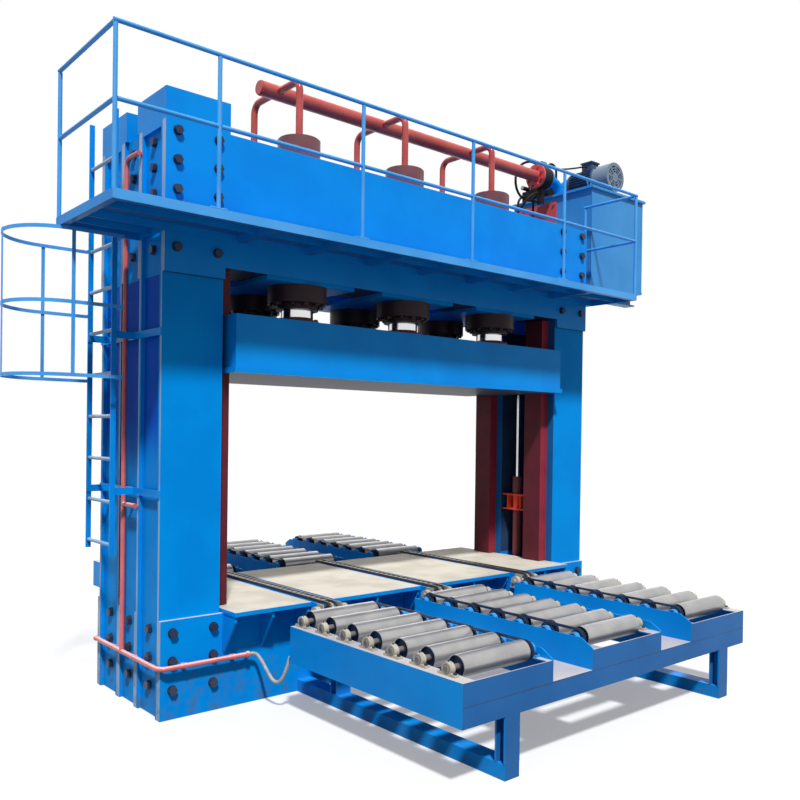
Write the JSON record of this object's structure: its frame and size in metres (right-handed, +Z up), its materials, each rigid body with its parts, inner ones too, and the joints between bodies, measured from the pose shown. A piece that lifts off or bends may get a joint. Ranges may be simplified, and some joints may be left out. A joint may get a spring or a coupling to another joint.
{
  "type": "hydraulic press",
  "caption": "Frame-type hydraulic cold press with paired cylinders, roller tables front and back, drag chains, platform with railing, caged ladder and an oil tank.",
  "frame": {"origin": "on the floor at the middle of the press, centre of the anchor bolt pattern", "axes": "+Z up, +X to the right seen from the infeed side, +Y from the infeed to the outfeed side"},
  "size_m": [6.574, 5.28, 4.986],
  "materials": {
    "blue_enamel": "gloss",
    "dark_bolts": "satin",
    "cream_table": "worn satin",
    "dark_chain": "oily",
    "maroon_paint": "satin",
    "chrome_rod": "polished",
    "red_paint": "gloss",
    "grey_motor": "satin",
    "black_plastic": "matte",
    "black_metal": "satin",
    "black_rubber": "matte",
    "grey_hose": "satin",
    "cream_bearing": "satin",
    "roller_steel": "brushed"
  },
  "bodies": {
    "press_frame": {"lower_beam_front": "blue_enamel", "lower_beam_rear": "blue_enamel", "column_front_left": "blue_enamel", "column_front_right": "blue_enamel", "column_rear_left": "blue_enamel", "column_rear_right": "blue_enamel", "upper_beam_front": "blue_enamel", "upper_beam_rear": "blue_enamel", "frame_ties": "blue_enamel", "frame_bolts": "dark_bolts", "bed_tables": "cream_table", "chain_tracks": "blue_enamel", "transfer_chains": "dark_chain", "guide_rails": "maroon_paint", "cylinder_barrels": "maroon_paint", "cylinder_glands": "maroon_paint", "lift_cylinders": "red_paint", "oil_header": "red_paint", "oil_tank": "blue_enamel", "tank_lid": "blue_enamel", "pump_motor": "grey_motor", "pump_unit": "blue_enamel", "valve_block": "black_metal", "pressure_hoses": "black_rubber", "conduit_pipes": "red_paint", "flex_hose": "grey_hose", "platform": "blue_enamel", "guard_rails": "blue_enamel", "ladder": "blue_enamel", "ladder_cage": "blue_enamel", "infeed_frame": "blue_enamel", "infeed_bearings": "cream_bearing", "infeed_chains": "dark_chain", "outfeed_frame": "blue_enamel", "outfeed_rollers": "roller_steel"},
    "press_ram": {"platen": "blue_enamel", "piston_rods": "chrome_rod", "lift_rods": "chrome_rod"},
    "motor_rotor": {"motor_fan": "black_plastic"},
    "roller_a1": {"roller_a1": "roller_steel"},
    "roller_a2": {"roller_a2": "roller_steel"},
    "roller_a3": {"roller_a3": "roller_steel"},
    "roller_a4": {"roller_a4": "roller_steel"},
    "roller_a5": {"roller_a5": "roller_steel"},
    "roller_a6": {"roller_a6": "roller_steel"},
    "roller_a7": {"roller_a7": "roller_steel"},
    "roller_b1": {"roller_b1": "roller_steel"},
    "roller_b2": {"roller_b2": "roller_steel"},
    "roller_b3": {"roller_b3": "roller_steel"},
    "roller_b4": {"roller_b4": "roller_steel"},
    "roller_b5": {"roller_b5": "roller_steel"},
    "roller_b6": {"roller_b6": "roller_steel"},
    "roller_b7": {"roller_b7": "roller_steel"},
    "roller_c1": {"roller_c1": "roller_steel"},
    "roller_c2": {"roller_c2": "roller_steel"},
    "roller_c3": {"roller_c3": "roller_steel"},
    "roller_c4": {"roller_c4": "roller_steel"},
    "roller_c5": {"roller_c5": "roller_steel"},
    "roller_c6": {"roller_c6": "roller_steel"},
    "roller_c7": {"roller_c7": "roller_steel"}
  },
  "joints": [
    {"name": "platen_slide", "type": "slide", "parent": "press_frame", "child": "press_ram", "axis": [0, 0, 1], "range_m": [-0.8, 0.02]},
    {"name": "motor_spin", "type": "hinge", "parent": "press_frame", "child": "motor_rotor", "pos_m": [2.966, -0.2, 4.76], "axis": [0, 1, 0], "continuous": true},
    {"name": "roller_a1_spin", "type": "hinge", "parent": "press_frame", "child": "roller_a1", "pos_m": [-1.155, -1.053, 0.653], "axis": [1, 0, 0], "continuous": true},
    {"name": "roller_a2_spin", "type": "hinge", "parent": "press_frame", "child": "roller_a2", "pos_m": [-1.155, -1.29, 0.653], "axis": [1, 0, 0], "continuous": true},
    {"name": "roller_a3_spin", "type": "hinge", "parent": "press_frame", "child": "roller_a3", "pos_m": [-1.155, -1.527, 0.653], "axis": [1, 0, 0], "continuous": true},
    {"name": "roller_a4_spin", "type": "hinge", "parent": "press_frame", "child": "roller_a4", "pos_m": [-1.155, -1.764, 0.653], "axis": [1, 0, 0], "continuous": true},
    {"name": "roller_a5_spin", "type": "hinge", "parent": "press_frame", "child": "roller_a5", "pos_m": [-1.155, -2.001, 0.653], "axis": [1, 0, 0], "continuous": true},
    {"name": "roller_a6_spin", "type": "hinge", "parent": "press_frame", "child": "roller_a6", "pos_m": [-1.155, -2.238, 0.653], "axis": [1, 0, 0], "continuous": true},
    {"name": "roller_a7_spin", "type": "hinge", "parent": "press_frame", "child": "roller_a7", "pos_m": [-1.155, -2.475, 0.653], "axis": [1, 0, 0], "continuous": true},
    {"name": "roller_b1_spin", "type": "hinge", "parent": "press_frame", "child": "roller_b1", "pos_m": [0, -1.053, 0.653], "axis": [1, 0, 0], "continuous": true},
    {"name": "roller_b2_spin", "type": "hinge", "parent": "press_frame", "child": "roller_b2", "pos_m": [0, -1.29, 0.653], "axis": [1, 0, 0], "continuous": true},
    {"name": "roller_b3_spin", "type": "hinge", "parent": "press_frame", "child": "roller_b3", "pos_m": [0, -1.527, 0.653], "axis": [1, 0, 0], "continuous": true},
    {"name": "roller_b4_spin", "type": "hinge", "parent": "press_frame", "child": "roller_b4", "pos_m": [0, -1.764, 0.653], "axis": [1, 0, 0], "continuous": true},
    {"name": "roller_b5_spin", "type": "hinge", "parent": "press_frame", "child": "roller_b5", "pos_m": [0, -2.001, 0.653], "axis": [1, 0, 0], "continuous": true},
    {"name": "roller_b6_spin", "type": "hinge", "parent": "press_frame", "child": "roller_b6", "pos_m": [0, -2.238, 0.653], "axis": [1, 0, 0], "continuous": true},
    {"name": "roller_b7_spin", "type": "hinge", "parent": "press_frame", "child": "roller_b7", "pos_m": [0, -2.475, 0.653], "axis": [1, 0, 0], "continuous": true},
    {"name": "roller_c1_spin", "type": "hinge", "parent": "press_frame", "child": "roller_c1", "pos_m": [1.155, -1.053, 0.653], "axis": [1, 0, 0], "continuous": true},
    {"name": "roller_c2_spin", "type": "hinge", "parent": "press_frame", "child": "roller_c2", "pos_m": [1.155, -1.29, 0.653], "axis": [1, 0, 0], "continuous": true},
    {"name": "roller_c3_spin", "type": "hinge", "parent": "press_frame", "child": "roller_c3", "pos_m": [1.155, -1.527, 0.653], "axis": [1, 0, 0], "continuous": true},
    {"name": "roller_c4_spin", "type": "hinge", "parent": "press_frame", "child": "roller_c4", "pos_m": [1.155, -1.764, 0.653], "axis": [1, 0, 0], "continuous": true},
    {"name": "roller_c5_spin", "type": "hinge", "parent": "press_frame", "child": "roller_c5", "pos_m": [1.155, -2.001, 0.653], "axis": [1, 0, 0], "continuous": true},
    {"name": "roller_c6_spin", "type": "hinge", "parent": "press_frame", "child": "roller_c6", "pos_m": [1.155, -2.238, 0.653], "axis": [1, 0, 0], "continuous": true},
    {"name": "roller_c7_spin", "type": "hinge", "parent": "press_frame", "child": "roller_c7", "pos_m": [1.155, -2.475, 0.653], "axis": [1, 0, 0], "continuous": true}
  ],
  "couplings": [
    {"joint": "roller_a2_spin", "follows": "roller_a1_spin", "ratio": 1},
    {"joint": "roller_a3_spin", "follows": "roller_a1_spin", "ratio": 1},
    {"joint": "roller_a4_spin", "follows": "roller_a1_spin", "ratio": 1},
    {"joint": "roller_a5_spin", "follows": "roller_a1_spin", "ratio": 1},
    {"joint": "roller_a6_spin", "follows": "roller_a1_spin", "ratio": 1},
    {"joint": "roller_a7_spin", "follows": "roller_a1_spin", "ratio": 1},
    {"joint": "roller_b1_spin", "follows": "roller_a1_spin", "ratio": 1},
    {"joint": "roller_b2_spin", "follows": "roller_a1_spin", "ratio": 1},
    {"joint": "roller_b3_spin", "follows": "roller_a1_spin", "ratio": 1},
    {"joint": "roller_b4_spin", "follows": "roller_a1_spin", "ratio": 1},
    {"joint": "roller_b5_spin", "follows": "roller_a1_spin", "ratio": 1},
    {"joint": "roller_b6_spin", "follows": "roller_a1_spin", "ratio": 1},
    {"joint": "roller_b7_spin", "follows": "roller_a1_spin", "ratio": 1},
    {"joint": "roller_c1_spin", "follows": "roller_a1_spin", "ratio": 1},
    {"joint": "roller_c2_spin", "follows": "roller_a1_spin", "ratio": 1},
    {"joint": "roller_c3_spin", "follows": "roller_a1_spin", "ratio": 1},
    {"joint": "roller_c4_spin", "follows": "roller_a1_spin", "ratio": 1},
    {"joint": "roller_c5_spin", "follows": "roller_a1_spin", "ratio": 1},
    {"joint": "roller_c6_spin", "follows": "roller_a1_spin", "ratio": 1},
    {"joint": "roller_c7_spin", "follows": "roller_a1_spin", "ratio": 1}
  ]
}
